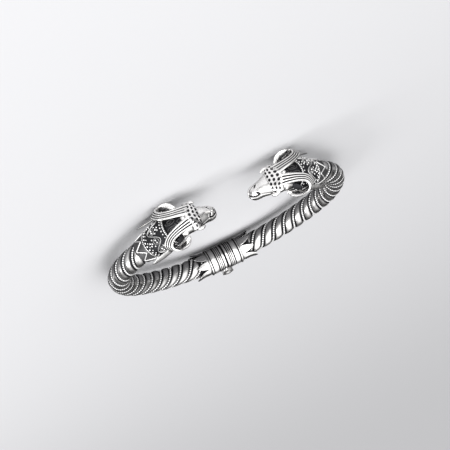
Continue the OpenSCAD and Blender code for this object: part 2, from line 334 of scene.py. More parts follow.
def turned(outline: np.ndarray, tone: np.ndarray) -> Shell:
    """Outline turned about the X axis.

    Args:
        outline: Rows of length along the axis and radius, from one end face to the other.
        tone: Darkness of each row.

    Returns:
        The closed shell.
    """
    t = circle(TURNED_SIDES)
    return tube(about_x(outline[:, :1], outline[:, 1:], t), tone[:, None] + 0 * t)


def crevice_oxide_and_shade(shell: Shell, reach: float, stride: int, low: float, high: float) -> np.ndarray:
    """Darkness of sheltered places: oxide that stays where polishing doesn't reach, and painted
    shade worked out like ambient occlusion.

    A corner with normal n is sheltered by each triangle of area A and normal m at distance d in
    direction v by A max(0, n.v) max(0, -m.v) / (pi d^2 + A), faded out towards the reach.

    Args:
        shell: What is darkened, and what shelters it.
        reach: Distance beyond which nothing shelters.
        stride: Only every so many triangles are counted, each for as many.
        low: Shelter at which the darkening begins.
        high: Shelter at which it is complete.

    Returns:
        Darkness of each corner.
    """
    a, b, c = (v.astype(np.float32) for v in shell.corners())
    face = np.cross(b - a, c - a)
    size = np.linalg.norm(face, axis=1)
    pick = np.nonzero(size > TINY)[0][::stride]
    middle, facing = ((a + b + c) / 3)[pick], (face / np.maximum(size, TINY)[:, None])[pick]
    area = size[pick] / 2 * stride
    points, normals = shell.points.astype(np.float32), shell.normals().astype(np.float32)
    found = np.zeros(len(points), np.float32)
    for k in range(0, len(points), BATCH):
        part = slice(k, k + BATCH)
        p, n = points[part], normals[part]
        d2 = (p**2).sum(1)[:, None] + (middle**2).sum(1) - 2 * p @ middle.T
        d2 = np.maximum(d2, NEAREST_SQUARED)
        d = np.sqrt(d2)
        up = (n @ middle.T - (n * p).sum(1)[:, None]) / d
        down = (p @ facing.T - (middle * facing).sum(1)) / d
        fade = np.clip(1 - d2 / reach**2, 0, 1)
        seen = area * np.clip(up, 0, 1) * np.clip(down, 0, 1) * fade
        found[part] = (seen / (np.pi * d2 + area)).sum(1)
    return ease(low, high, found)


# ---------------------------------------------------------------- the ring's own line


@dataclass(frozen=True)
class ArmPath:
    """Centre line of an arm, two arcs and a straight end, and the way that the ring lies."""

    back_r: float = 32.0
    back_turn: float = math.radians(53)
    bend_r: float = 22.0
    bend_turn: float = math.radians(84)
    half_depth: float = 24.0
    barrel_sag: float = 0.19
    rest_tilt: float = math.radians(2)
    origin_y: float = 0.82
    origin_z: float = 5.02

    @property
    def back_len(self) -> float:
        """Length of the back arc."""
        return self.back_r * self.back_turn

    @property
    def neck_s(self) -> float:
        """Length along the arm at which the straight neck begins."""
        return self.back_len + self.bend_r * self.bend_turn

    def heading(self, s: np.ndarray) -> np.ndarray:
        """Angle that the line has turned through at a length s from the hinge."""
        back = np.clip(s, None, self.back_len) / self.back_r
        return back + np.clip(s - self.back_len, 0, self.neck_s - self.back_len) / self.bend_r

    def centre(self, s: np.ndarray) -> np.ndarray:
        """Points of the line: an arc is its radius times the change of (sin h, cos h)."""
        s = np.asarray(s, float)
        h1 = self.heading(s)
        h0 = np.minimum(h1, self.back_turn)
        over = np.maximum(s - self.neck_s, 0)
        x = self.back_r * np.sin(h0) + self.bend_r * (np.sin(h1) - np.sin(h0)) + over * np.cos(h1)
        y = (self.half_depth + self.back_r * (np.cos(h0) - 1)
             + self.bend_r * (np.cos(h1) - np.cos(h0)) - over * np.sin(h1))
        return np.stack([x, y, 0 * x], -1)

    def around(self, s: np.ndarray, u: np.ndarray, t: np.ndarray) -> np.ndarray:
        """Points at radius u and angle t about the line: outwards at 0, up at a quarter turn."""
        h = self.heading(s)
        out = u * np.cos(t)
        return self.centre(s) + np.stack([out * np.sin(h), out * np.cos(h), u * np.sin(t)], -1)

    def on_arm(self, s: float, shell: Shell) -> Shell:
        """A shell drawn about the X axis, moved to a station of the arm with X running along it."""
        h = float(self.heading(np.array(s)))
        c, n = math.cos(h), math.sin(h)
        x, y, z = shell.points.T
        swung = np.stack([c * x + n * y, c * y - n * x, z], -1)
        return shell.moved(self.centre(np.array(s)) + swung)

    def place(self, points: np.ndarray, side: Side) -> np.ndarray:
        """Points of the left arm, mirrored for the right one, tilted with the ring, in metres."""
        x, y, z = (points * [side.value, 1, 1]).T
        c, n = math.cos(self.rest_tilt), math.sin(self.rest_tilt)
        return np.stack([x, y * c + z * n + self.origin_y, z * c - y * n + self.origin_z], -1) * MM


PATH = ArmPath()


# ---------------------------------------------------------------- finishes


@dataclass(frozen=True)
class Socket:
    """One named input or output of a shader group."""

    name: str
    kind: str = "NodeSocketFloat"
    default: float | tuple = 0.0


@dataclass
class Wiring:
    """Lays nodes in a tree and joins them."""

    tree: bpy.types.NodeTree

    def feed(self, node: bpy.types.Node, inputs: dict) -> None:
        """Gives a node's inputs, by name or number, values or other nodes' sockets."""
        for key, value in inputs.items():
            if isinstance(value, bpy.types.NodeSocket):
                self.tree.links.new(value, node.inputs[key])
            else:
                node.inputs[key].default_value = value

    def node(self, kind: str, inputs: dict | None = None, **settings: object) -> bpy.types.Node:
        """Adds a node.

        Args:
            kind: Blender's name of the node type.
            inputs: What feed() gives it.
            **settings: Properties of the node.

        Returns:
            The node.
        """
        made = self.tree.nodes.new(kind)
        for key, value in settings.items():
            setattr(made, key, value)
        self.feed(made, inputs or {})
        return made

    def calc(self, kind: str, *values: object) -> bpy.types.NodeSocket:
        """Output of a Math node on up to three values or sockets."""
        return self.node("ShaderNodeMath", dict(enumerate(values)), operation=kind).outputs[0]

    def vector(self, kind: str, *values: object) -> bpy.types.Node:
        """Vector Math node on one or two vectors."""
        return self.node("ShaderNodeVectorMath", dict(enumerate(values)), operation=kind)

    def span(self, value: object, low: object, high: object, to_low: object = 0.0,
             to_high: object = 1.0) -> bpy.types.NodeSocket:
        """Value taken smoothly from the span low..high to the span to_low..to_high."""
        return self.node("ShaderNodeMapRange", {0: value, 1: low, 2: high, 3: to_low, 4: to_high},
                         interpolation_type="SMOOTHSTEP").outputs[0]

    def mix(self, share: object, first: object, second: object) -> bpy.types.NodeSocket:
        """Colour between two colours, by a share from 0 to 1."""
        inputs = {0: share, 6: first, 7: second}
        return self.node("ShaderNodeMix", inputs, data_type="RGBA").outputs[2]

    def place(self) -> bpy.types.NodeSocket:
        """Place on the object, in metres."""
        return self.node("ShaderNodeTexCoord").outputs["Object"]

    def xyz(self) -> bpy.types.NodeOutputs:
        """Place on the object as three numbers."""
        return self.node("ShaderNodeSeparateXYZ", {0: self.place()}).outputs

    def noise(self, scale: object, detail: float = 2.0,
              roughness: float = 0.5) -> bpy.types.NodeSocket:
        """Cloud pattern from 0 to 1 over the places on the object."""
        inputs = {"Vector": self.place(), "Scale": scale, "Detail": detail, "Roughness": roughness}
        return self.node("ShaderNodeTexNoise", inputs).outputs["Fac"]

    def group(self, group: "ShaderGroup", inputs: dict | None = None) -> bpy.types.NodeOutputs:
        """Places a shader group with its own values, and gives its outputs."""
        return self.node("ShaderNodeGroup", inputs, node_tree=group.tree()).outputs


class ShaderGroup:
    """A shader node group that is built once."""

    name = "group"
    inputs: tuple[Socket, ...] = ()
    outputs: tuple[Socket, ...] = ()

    def tree(self) -> bpy.types.NodeTree:
        """The group, built when it is first asked for."""
        found = bpy.data.node_groups.get(self.name)
        if found:
            return found
        tree = bpy.data.node_groups.new(self.name, "ShaderNodeTree")
        for sockets, way in ((self.inputs, "INPUT"), (self.outputs, "OUTPUT")):
            for s in sockets:
                made = tree.interface.new_socket(s.name, in_out=way, socket_type=s.kind)
                if way == "INPUT":
                    made.default_value = s.default
        wiring = Wiring(tree)
        wiring.node("NodeGroupOutput", self.fill(wiring, wiring.node("NodeGroupInput").outputs))
        return tree

    def fill(self, wiring: Wiring, o: bpy.types.NodeOutputs) -> dict:
        """Lays the group's nodes.

        Args:
            wiring: Lays them in the group's tree.
            o: The group's own inputs, by name.

        Returns:
            What feeds each output, by name.
        """
        raise NotImplementedError


class Patina(ShaderGroup):
    """Silver that is bright where it was polished, black where the oxide was left, and dark where
    shade is painted into its tone.

    A cloud pattern shifts the edge between them and dulls the polish in faint patches.
    """

    name = "silver_patina"
    inputs = (Socket("Tone"), Socket("Bright", "NodeSocketColor", (0.9, 0.89, 0.88, 1)),
              Socket("Dark", "NodeSocketColor", (0.03, 0.03, 0.033, 1)),
              Socket("Polish", default=0.2), Socket("Dullness", default=0.5),
              Socket("Cloud Scale", default=400.0), Socket("Cloud Amount", default=0.15))
    outputs = (Socket("Color", "NodeSocketColor"), Socket("Roughness"))
    detail = 3.0
    roughness = 0.6
    tone_span = (0.04, 0.96)
    # Cloud values between which the wear comes in, and the roughness that it adds
    wear_span = (0.35, 0.75)
    wear = 0.12

    def fill(self, wiring: Wiring, o: bpy.types.NodeOutputs) -> dict:
        """Tone plus centred clouds goes through a smooth step to the mix of bright and dark."""
        cloud = wiring.noise(o["Cloud Scale"], self.detail, self.roughness)
        shift = wiring.calc("MULTIPLY", wiring.calc("SUBTRACT", cloud, 0.5), o["Cloud Amount"])
        tone = wiring.span(wiring.calc("ADD", o["Tone"], shift), *self.tone_span)
        wear = wiring.calc("MULTIPLY", wiring.span(cloud, *self.wear_span), self.wear)
        rough = wiring.calc("ADD", wiring.span(tone, 0.0, 1.0, o["Polish"], o["Dullness"]), wear)
        return {"Color": wiring.mix(tone, o["Bright"], o["Dark"]), "Roughness": rough}


class HandWork(ShaderGroup):
    """Height of slight unevenness from hand work: soft dents with fine scratches on them."""

    name = "hand_work"
    inputs = (Socket("Dent Scale", default=250.0), Socket("Scratch Scale", default=1600.0),
              Socket("Scratch Amount", default=0.3))
    outputs = (Socket("Height"),)

    def fill(self, wiring: Wiring, o: bpy.types.NodeOutputs) -> dict:
        """Noise at the dent scale plus a share of noise at the scratch scale."""
        fine = wiring.calc("MULTIPLY", wiring.noise(o["Scratch Scale"]), o["Scratch Amount"])
        return {"Height": wiring.calc("ADD", wiring.noise(o["Dent Scale"], 1.0), fine)}


class Lugs(ShaderGroup):
    """Share 1 on what stands out from the barrel, whose axis runs along X: the hinge's knuckles."""

    name = "lugs"
    inputs = (Socket("Axis Y"), Socket("Axis Z"), Socket("Barrel Radius"))
    outputs = (Socket("Share"),)
    # Shares of the barrel's radius between which the knuckles begin
    edge = (1.03, 1.06)

    def fill(self, wiring: Wiring, o: bpy.types.NodeOutputs) -> dict:
        """Radius = root of (y - axis y)^2 + (z - axis z)^2, through a smooth step."""
        place = wiring.xyz()
        offs = (wiring.calc("SUBTRACT", place[k], o[f"Axis {k}"]) for k in "YZ")
        squares = wiring.calc("ADD", *(wiring.calc("MULTIPLY", off, off) for off in offs))
        share = wiring.calc("DIVIDE", wiring.calc("SQRT", squares), o["Barrel Radius"])
        return {"Share": wiring.span(share, *self.edge)}


class TurnedLine(ShaderGroup):
    """Black line that was turned round both halves of the barrel at a distance from its middle."""

    name = "turned_line"
    inputs = (Socket("Distance"), Socket("Half Width"), Socket("Soft Edge"))
    outputs = (Socket("Tone"),)

    def fill(self, wiring: Wiring, o: bpy.types.NodeOutputs) -> dict:
        """Smooth step of | |x| - distance | from the half width outwards."""
        x = wiring.calc("ABSOLUTE", wiring.xyz()["X"])
        off = wiring.calc("ABSOLUTE", wiring.calc("SUBTRACT", x, o["Distance"]))
        end = wiring.calc("ADD", o["Half Width"], o["Soft Edge"])
        return {"Tone": wiring.span(off, o["Half Width"], end, 1.0, 0.0)}


def new_material(name: str) -> tuple[bpy.types.Material, Wiring, bpy.types.Node]:
    """A material, the wiring of its nodes and its shader."""
    made = bpy.data.materials.new(name)
    made.use_nodes = True
    return made, Wiring(made.node_tree), made.node_tree.nodes["Principled BSDF"]


def new_object(name: str, data: bpy.types.ID) -> bpy.types.Object:
    """An object in the scene's own collection."""
    made = bpy.data.objects.new(name, data)
    bpy.context.scene.collection.objects.link(made)
    return made


@dataclass(frozen=True)
class Finish:
    """A finish of silver.

    Attributes:
        name: Name of the material.
        bright: Colour of the polished metal.
        dark: Colour of the oxide, and of the painted shade in the tone.
        polish: Roughness where it is polished.
        dullness: Roughness of the oxide and of the painted shade.
        cloud_amount: How far the clouds shift the edge of the oxide.
        base_tone: Darkness that is added all over.
        metal: Share of the light that is mirrored; a matt white skin gives back the rest.
        bump: Depth of the hand work in millimetres.
        tone_from: Where the darkness comes from.
    """

    name: str
    bright: tuple = (0.9, 0.89, 0.88, 1)
    dark: tuple = (0.03, 0.03, 0.033, 1)
    polish: float = 0.2
    dullness: float = 0.5
    cloud_amount: float = 0.2
    base_tone: float = 0.0
    metal: float = 1.0
    bump: float = 0.02
    tone_from: ToneFrom = ToneFrom.ATTRIBUTE

    def material(self) -> bpy.types.Material:
        """The finish as a material, made when it is first asked for."""
        found = bpy.data.materials.get(self.name)
        if found:
            return found
        material, wiring, shader = new_material(self.name)
        if self.tone_from is ToneFrom.BARREL_GROOVES:
            tone = BarrelHalf.tone(wiring)
        else:
            tone = wiring.node("ShaderNodeAttribute", attribute_name="tone").outputs["Fac"]
        # The patina group darkens both the real oxide and the painted shade that the tone carries
        patina = wiring.group(Patina(), {
            "Tone": wiring.calc("ADD", tone, self.base_tone), "Bright": self.bright,
            "Dark": self.dark, "Polish": self.polish, "Dullness": self.dullness,
            "Cloud Amount": self.cloud_amount})
        height = wiring.group(HandWork())["Height"]
        bump = wiring.node("ShaderNodeBump", {"Height": height, "Distance": self.bump * MM,
                                              "Strength": 1.0})
        wiring.feed(shader, {"Base Color": patina["Color"], "Roughness": patina["Roughness"],
                             "Normal": bump.outputs["Normal"], "Metallic": self.metal})
        return material


POLISHED = Finish("polished_silver")
ROPE_FINISH = Finish("aged_and_shaded_rope", polish=0.24)
WIRE_FINISH = Finish("aged_wire", bright=(0.97, 0.965, 0.96, 1), polish=0.3, metal=0.5, bump=0.01)
OXIDISED = Finish("oxidised_silver", bright=(0.92, 0.915, 0.91, 1), polish=0.25, metal=0.9)
BARREL_FINISH = Finish("barrel_silver", polish=0.28, tone_from=ToneFrom.BARREL_GROOVES)
PIN_FINISH = Finish("pin_silver", polish=0.3, base_tone=0.5)


def piece(name: str, shell: Shell, side: Side, finish: Finish, node: str,
          sharp: float = 50) -> None:
    """Makes a piece of one half, at the origin and riding on that half.

    Args:
        name: Name of the piece, without the side.
        shell: The left arm's piece in ring millimetres; it is mirrored for the right one.
        side: Half that it is for.
        finish: Its finish.
        node: CAD node, without the side, that it stands for.
        sharp: Angle in degrees between two faces from which their edge is drawn sharp.
    """
    shell = shell.moved(PATH.place(shell.points, side), side.value)
    quads, tris = shell.quads, shell.tris
    mesh = bpy.data.meshes.new(f"{name}_{side.tag}")
    corners = np.concatenate([quads.ravel(), tris.ravel()]).astype(np.int32)
    starts = np.concatenate([np.arange(len(quads)) * 4, len(quads) * 4 + np.arange(len(tris)) * 3])
    mesh.vertices.add(len(shell.points))
    mesh.vertices.foreach_set("co", shell.points.astype(np.float32).ravel())
    mesh.loops.add(len(corners))
    mesh.loops.foreach_set("vertex_index", corners)
    mesh.polygons.add(len(starts))
    mesh.polygons.foreach_set("loop_start", starts.astype(np.int32))
    mesh.update(calc_edges=True)
    mesh.shade_smooth()
    mesh.set_sharp_from_angle(angle=math.radians(sharp))
    tone = mesh.attributes.new("tone", "FLOAT", "POINT")
    tone.data.foreach_set("value", shell.tone.astype(np.float32))
    mesh.materials.append(finish.material())
    made = new_object(mesh.name, mesh)
    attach(made, side.body)
    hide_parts(f"{node}_{side.tag}")
    LOG.info("%s: %d triangles", made.name, 2 * len(quads) + len(tris))


def dress(node: str, finish: Finish) -> None:
    """Gives a CAD node's own object a finish in all its material slots."""
    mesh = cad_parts[node].data
    if not mesh.materials:
        mesh.materials.append(finish.material())
    for k in range(len(mesh.materials)):
        mesh.materials[k] = finish.material()
    LOG.info("%s: dressed", node)


# ---------------------------------------------------------------- rope


@dataclass(frozen=True)
class RopeArm:
    """Arm of three bands twisted round each other, with a beaded wire in each groove."""

    side: Side
    radius: float = 2.78
    groove_depth: float = 0.62
    edge_drop: float = 0.14
    lead: float = 11.0
    starts: int = 3
    phases: tuple = (math.radians(54), math.radians(106))
    first: float = 5.45
    in_socket: float = 1.2
    station_step: float = 0.24
    # Across a band, in degrees off its crown: its edge, the end of its top, the start of the
    # groove's floor, the points, and the spans in which each half of the darkness comes in: painted
    # shade growing from the crown towards the band's edges, then black oxide in the groove
    band_edge: float = 60
    top_end: float = 38
    floor_start: float = 49
    band_places: tuple = (-60, -54, -49, -46, -43.5, -41, -38, -34, -29, -23, -16, -8,
                          0, 8, 16, 23, 29, 34, 38, 41, 43.5, 46, 49, 54)
    shades: tuple = ((4, 30), (28, 34))
    # Lengths from the rope's beginning between which the black under the leaves, painted shadow and
    # oxide, goes out
    leaf_shade: tuple = (3.6, 2.6)
    wire_r: float = 0.25
    wire_gap: float = 0.03
    wire_step: float = 0.1
    # How much shorter than the rope the wires are at its two ends
    wire_ends: tuple = (0.1, 0.3)
    bead_pitch: float = 0.56

    @property
    def last(self) -> float:
        """Length along the arm at which the rope ends, inside the neck socket."""
        return PATH.neck_s + self.in_socket

    def groove(self, s: np.ndarray) -> np.ndarray:
        """Angle of the first groove: the phase less one turn for each lead."""
        phase = self.phases[0] if self.side is Side.LEFT else self.phases[1]
        return phase - self.side.value * TURN * s / self.lead

    def rope(self) -> Shell:
        """Bands: the drop below the crown is edge_drop (a / top_end)^2 up to the top's end, and
        then eases down to the groove's floor. Groove and rope between the leaves are black."""
        a = np.array(self.band_places, float)
        off = np.abs(a)
        crown = self.edge_drop * np.minimum(off / self.top_end, 1.0) ** 2
        wall = ease(self.top_end, self.floor_start, off)
        drop = crown + (self.groove_depth - self.edge_drop) * wall
        # Painted shade darkens each band from its crown towards its edges; the grooves hold black
        # oxide
        tone = sum(0.5 * ease(*span, off) for span in self.shades)
        s = np.arange(self.first, self.last, self.station_step)
        step = TURN / self.starts
        turn = (np.arange(self.starts)[:, None] + 0.5 + a / (2 * self.band_edge)).ravel() * step
        t = self.groove(s)[:, None] + turn
        u = self.radius - np.tile(drop, self.starts)
        rings = PATH.around(s[:, None] + 0 * t, u + 0 * t, t)
        # Painted shadow and oxide: the rope under the leaves is black
        under_leaves = ease(*(self.first + v for v in self.leaf_shade), s)[:, None]
        return tube(rings, np.maximum(np.tile(tone, self.starts) + 0 * t, under_leaves))

    def wires(self) -> Shell:
        """Beaded wires along the middles of the grooves."""
        s = np.arange(self.first + self.wire_ends[0], self.last - self.wire_ends[1], self.wire_step)
        orbit = self.radius - self.groove_depth + self.wire_r + self.wire_gap
        turns = (k * TURN / self.starts for k in range(self.starts))
        paths = [PATH.around(s, orbit, self.groove(s) + turn) for turn in turns]
        return joined([beaded(p, p - PATH.centre(s), self.wire_r, self.bead_pitch) for p in paths])

    def build(self) -> None:
        """Makes the rope and its wires."""
        piece("twisted_rope", self.rope(), self.side, ROPE_FINISH, "rope")
        piece("beaded_wires", self.wires(), self.side, WIRE_FINISH, "groove_wires")


# ---------------------------------------------------------------- barrel and leaves


@dataclass(frozen=True)
class BarrelHalf:
    """Half of the barrel at the back; the CAD node stays and gets its finish."""

    side: Side

    # Distance from the middle and half width of the grooves: the split between the halves, both
    # sides of each of three wires, and both sides of the rim wire
    grooves: ClassVar[tuple] = ((0.0, 0.28), (0.96, 0.14), (1.44, 0.08), (1.92, 0.08), (2.43, 0.16),
                                (4.06, 0.15), (4.74, 0.2))
    soft_edge: ClassVar[float] = 0.05
    radius: ClassVar[float] = 3.48
    # Painted dark reflection on the hinge's knuckles
    lug_dark_reflection: ClassVar[float] = 0.38

    @staticmethod
    def axis() -> np.ndarray:
        """A point of the barrel's axis in the frame of the CAD part."""
        return PATH.place(np.array([[0, PATH.half_depth - PATH.barrel_sag, 0.0]]), Side.LEFT)[0]

    @classmethod
    def tone(cls, wiring: Wiring) -> bpy.types.NodeSocket:
        """Darkness of the barrel's grooves, and a painted dark reflection on its knuckles."""
        _, y, z = cls.axis()
        tone = 0.0
        for far, half in cls.grooves:
            line = wiring.group(TurnedLine(), {"Distance": far * MM, "Half Width": half * MM,
                                               "Soft Edge": cls.soft_edge * MM})
            tone = wiring.calc("MAXIMUM", tone, line["Tone"])
        lug = wiring.group(Lugs(), {"Axis Y": y, "Axis Z": z,
                                    "Barrel Radius": cls.radius * MM})["Share"]
        on_barrel = wiring.calc("MULTIPLY", tone, wiring.calc("SUBTRACT", 1.0, lug))
        return wiring.calc("MULTIPLY_ADD", lug, cls.lug_dark_reflection, on_barrel)

    def build(self) -> None:
        """Dresses the CAD node."""
        dress(f"barrel_{self.side.tag}", BARREL_FINISH)


@dataclass(frozen=True)
class LeafCollar:
    """Ring of pointed leaves that lie on the end of the rope."""

    side: Side
    station: float = 5.45
    count: int = 8
    first_leaf: float = math.radians(112.5)
    length: float = 3.4
    half_width: float = 1.2
    inner_r: float = 2.93
    thickness: float = 0.3
    # Length and share of the half width, then length and lift off the rope
    widths: tuple = ((0.3, 1.0), (0.7, 0.97), (1.2, 0.88), (1.8, 0.74), (2.4, 0.55), (2.9, 0.34),
                     (3.25, 0.14), (3.4, 0.03))
    lifts: tuple = ((-0.6, 0.0), (1.2, 0.06), (2.2, 0.2), (3.4, 0.5))
    # Rows and points in a row, and how square the section is: powers of its cosine and sine
    grid: tuple = (30, 28)
    squareness: tuple = (0.7, 0.6)
    # Height, share of the half width and reach of the middle rib and of the rims, on the upper face
    veins: tuple = ((0.09, 0.0, 0.16), (0.05, 0.8, 0.12))
    upper_face: float = 0.3
    vein_fade: tuple = (0.0, 0.5)
    dark_edge: tuple = (0.8, 0.94)
    # Ring that the leaves grow from: length, height over the inner radius and darkness
    ring_rows: tuple = ((-0.52, 0.0, 0.8), (-0.52, 0.3, 0.8), (-0.1, 0.32, 0.3), (0.1, 0.4, 0.0),
                        (0.3, 0.32, 0.4), (0.42, 0.05, 0.8))

    def leaves(self) -> list[Shell]:
        """One leaf is a flattened ellipse carried along the rope: half width by the table of widths,
        radius by the table of lifts, with a raised middle rib and rims, and dark edges."""
        rows, sides = self.grid
        x = np.linspace(0.0, self.length, rows)
        width, lift = (np.interp(x, *np.array(table).T) for table in (self.widths, self.lifts))
        wide = self.half_width * width
        u = self.inner_r + lift + self.thickness / 2
        a = circle(sides)
        side, high = (np.sign(v) * np.abs(v) ** p
                      for v, p in zip((np.cos(a), np.sin(a)), self.squareness))
        edges = ease(*self.dark_edge, np.abs(side))
        veins = sum(h * hill(np.abs(side), at, reach) for h, at, reach in self.veins)
        relief = veins * (np.sin(a) > self.upper_face) * ease(*self.vein_fade, wide)[:, None]
        radius = u[:, None] + high * self.thickness / 2 + relief
        made = []
        for k in range(self.count):
            t = self.first_leaf + k * TURN / self.count + wide[:, None] * side / self.inner_r
            made.append(tube(about_x(x[:, None], radius, t), edges + 0 * t))
        return made

    def build(self) -> None:
        """Makes the leaves and the ring that they grow from."""
        rows = np.array(self.ring_rows)
        ring = turned(rows[:, :2] + [0, self.inner_r], rows[:, 2])
        piece("leaf_ring", PATH.on_arm(self.station, joined([ring] + self.leaves())), self.side,
              POLISHED, "leaf_collar")


# ---------------------------------------------------------------- neck socket


@dataclass(frozen=True)
class NeckSocket:
    """Dark bell between rope and head, with beaded borders, a zigzag wire and granulation."""

    side: Side
    # Length and radius: three rows of the end that holds the rope, the last one also outside
    outline: tuple = (
        (1.25, 2.88), (-0.1, 2.88), (-0.1, 3.0), (1.0, 3.08), (2.0, 3.17), (3.15, 3.28),
        (3.75, 3.34), (4.6, 3.55), (5.4, 3.77), (6.0, 3.84), (6.6, 3.87), (7.6, 3.86),
        (8.4, 3.81), (9.4, 3.69), (10.2, 3.57), (10.9, 3.49))
    outline_rows: int = 70
    # Length from which the bell is black, and its darkness before that
    black_from: float = 3.3
    narrow_tone: float = 0.8
    # Shelter, for the oxide and painted shade in hollows: distance, stride, and where the darkening
    # begins and is complete; then its strength
    shelter: tuple = (1.2, 6, 0.4, 0.8)
    shelter_oxide_and_shade: float = 0.9
    borders: tuple = ((3.42, 0.17), (10.55, 0.22))
    border_pitch: float = 0.46
    border_points: int = 240
    wire_lift: float = 0.1
    teeth: int = 7
    tooth_points: int = 48
    tooth_back: float = 0.3
    tooth_front: float = 2.9
    tooth_r: float = 0.17
    tooth_sunk: float = 0.02
    tooth_narrowing: float = 0.85
    tooth_tone: float = 0.02
    tooth_sides: int = 10
    # Share of the triangle wave's height that is used, short of 1 so that its corners are round
    tooth_wave: float = 0.985
    # Rows of granules round the bell: length, radius, number, and share of a step at the start
    grain_rows: tuple = ((4.12, 0.24, 24, 0.0), (4.8, 0.17, 24, 0.5), (9.85, 0.2, 28, 0.0))
    grain_lift: float = 0.12
    waves: int = 5
    wave_points: int = 600
    wave_x: float = 7.25
    wave_reach: float = 1.45
    # Half width and half height of the wave wire and of the cells' rings, and their darkness
    wave_wire: tuple = (0.11, 0.16)
    wave_tone: float = 0.4
    cell_r: float = 0.74
    cell_off: float = 0.12
    cell_points: int = 32
    cell_lift: float = 0.08
    cell_wire: tuple = (0.09, 0.14)
    cell_tone: float = 0.6
    # Granules of a cell and of the group beside it: steps along and round, radius
    cell_grains: tuple = ((0.0, -0.3, 0.27), (0.05, 0.3, 0.24))
    side_grains: tuple = ((1.35, 0.0, 0.25), (1.85, -0.35, 0.22), (1.85, 0.35, 0.22),
                          (0.95, 0.78, 0.2), (0.95, -0.78, 0.2))

    def surface_r(self, x: np.ndarray) -> np.ndarray:
        """Radius of the bell's outside at a length x."""
        return np.interp(x, *np.array(self.outline[2:]).T)

    def on_bell(self, x: np.ndarray, t: np.ndarray, lift: float) -> np.ndarray:
        """Points at length x and angle t, lifted off the bell."""
        return about_x(x, self.surface_r(x) + lift, t)

    def wire(self, path: np.ndarray, size: tuple, tone: float, sides: int = 8) -> Shell:
        """Closed wire on the bell, of a half width and a half height."""
        return carried(path, path * [0, 1, 1], *size, sides, tone, loop=True)

    def border(self, x: float, radius: float) -> Shell:
        """Beaded wire round the bell."""
        path = self.on_bell(np.array(x), circle(self.border_points), self.wire_lift)
        return beaded(path, path * [0, 1, 1], radius, self.border_pitch, loop=True)

    def zigzag(self) -> Shell:
        """Plain wire on the corners of a zigzag; its corners are rounded by taking the length along
        the bell as an arcsine of a sine, which is a triangle wave, short of its full height."""
        t = circle(self.teeth * self.tooth_points)
        wave = self.tooth_wave * np.sin(self.teeth * (t - TURN / (8 * self.teeth)) - math.pi / 2)
        share = np.arcsin(wave) / math.pi + 0.5
        x = self.tooth_back + (self.tooth_front - self.tooth_back) * share
        path = self.on_bell(x, t, self.tooth_r - self.tooth_sunk)
        return self.wire(path, (self.tooth_r * self.tooth_narrowing, self.tooth_r), self.tooth_tone,
                         self.tooth_sides)

    def filigree(self) -> list[Shell]:
        """Wave wire with a ringed cell of two granules in each of its hollows, groups of granules
        beyond its turns, and rows of granules at both borders."""
        t, a = circle(self.wave_points), circle(self.cell_points)
        wave = self.wave_x + self.wave_reach * np.sin(self.waves * t)
        made = [self.wire(self.on_bell(wave, t, self.wire_lift), self.wave_wire, self.wave_tone)]
        grains = []
        for x, r, count, shift in self.grain_rows:
            turn = (np.arange(count) + shift) * TURN / count
            grains.append(np.stack([0 * turn + x, turn, 0 * turn + r], -1))
        for k in range(2 * self.waves):
            t0, way = (k + 0.5) * math.pi / self.waves, 1 if k % 2 == 0 else -1
            x0 = self.wave_x + self.cell_off * way
            around = self.surface_r(x0)
            ring = self.on_bell(x0 + self.cell_r * np.cos(a), t0 + self.cell_r * np.sin(a) / around,
                                self.cell_lift)
            made.append(self.wire(ring, self.cell_wire, self.cell_tone))
            for table, sign in ((self.cell_grains, 1), (self.side_grains, -way)):
                x, y, r = np.array(table).T
                grains.append(np.stack([x0 + sign * x, t0 + y / around, r], -1))
        x, t, r = np.concatenate(grains).T
        return made + [balls(self.on_bell(x, t, self.grain_lift), r)]

    @staticmethod
    @lru_cache(maxsize=1)
    def local() -> Shell:
        """Bell with all that is soldered on it, but for the zigzag wire, about the X axis. The bell
        itself is black, a little less so between the teeth."""
        socket = NeckSocket(Side.LEFT)
        outline = np.array(socket.outline)
        x = np.linspace(0, outline[-1, 0], socket.outline_rows)[1:]
        fine = np.concatenate([outline[:3], np.stack([x, socket.surface_r(x)], -1)])
        bell = turned(fine, np.where(fine[:, 0] > socket.black_from, 1.0, socket.narrow_tone))
        shell = joined([bell] + [socket.border(*b) for b in socket.borders] + socket.filigree())
        # Oxide and painted shade in the hollows between the wires and granules
        sheltered = socket.shelter_oxide_and_shade * crevice_oxide_and_shade(shell, *socket.shelter)
        shell.tone = np.maximum(shell.tone, sheltered)
        return shell

    def build(self) -> None:
        """Makes the socket and its zigzag wire."""
        piece("neck_socket", PATH.on_arm(PATH.neck_s, self.local()), self.side, OXIDISED,
              "neck")
        piece("zigzag_wire", PATH.on_arm(PATH.neck_s, self.zigzag()), self.side, OXIDISED,
              "tooth_collar")


# ---------------------------------------------------------------- ram's head


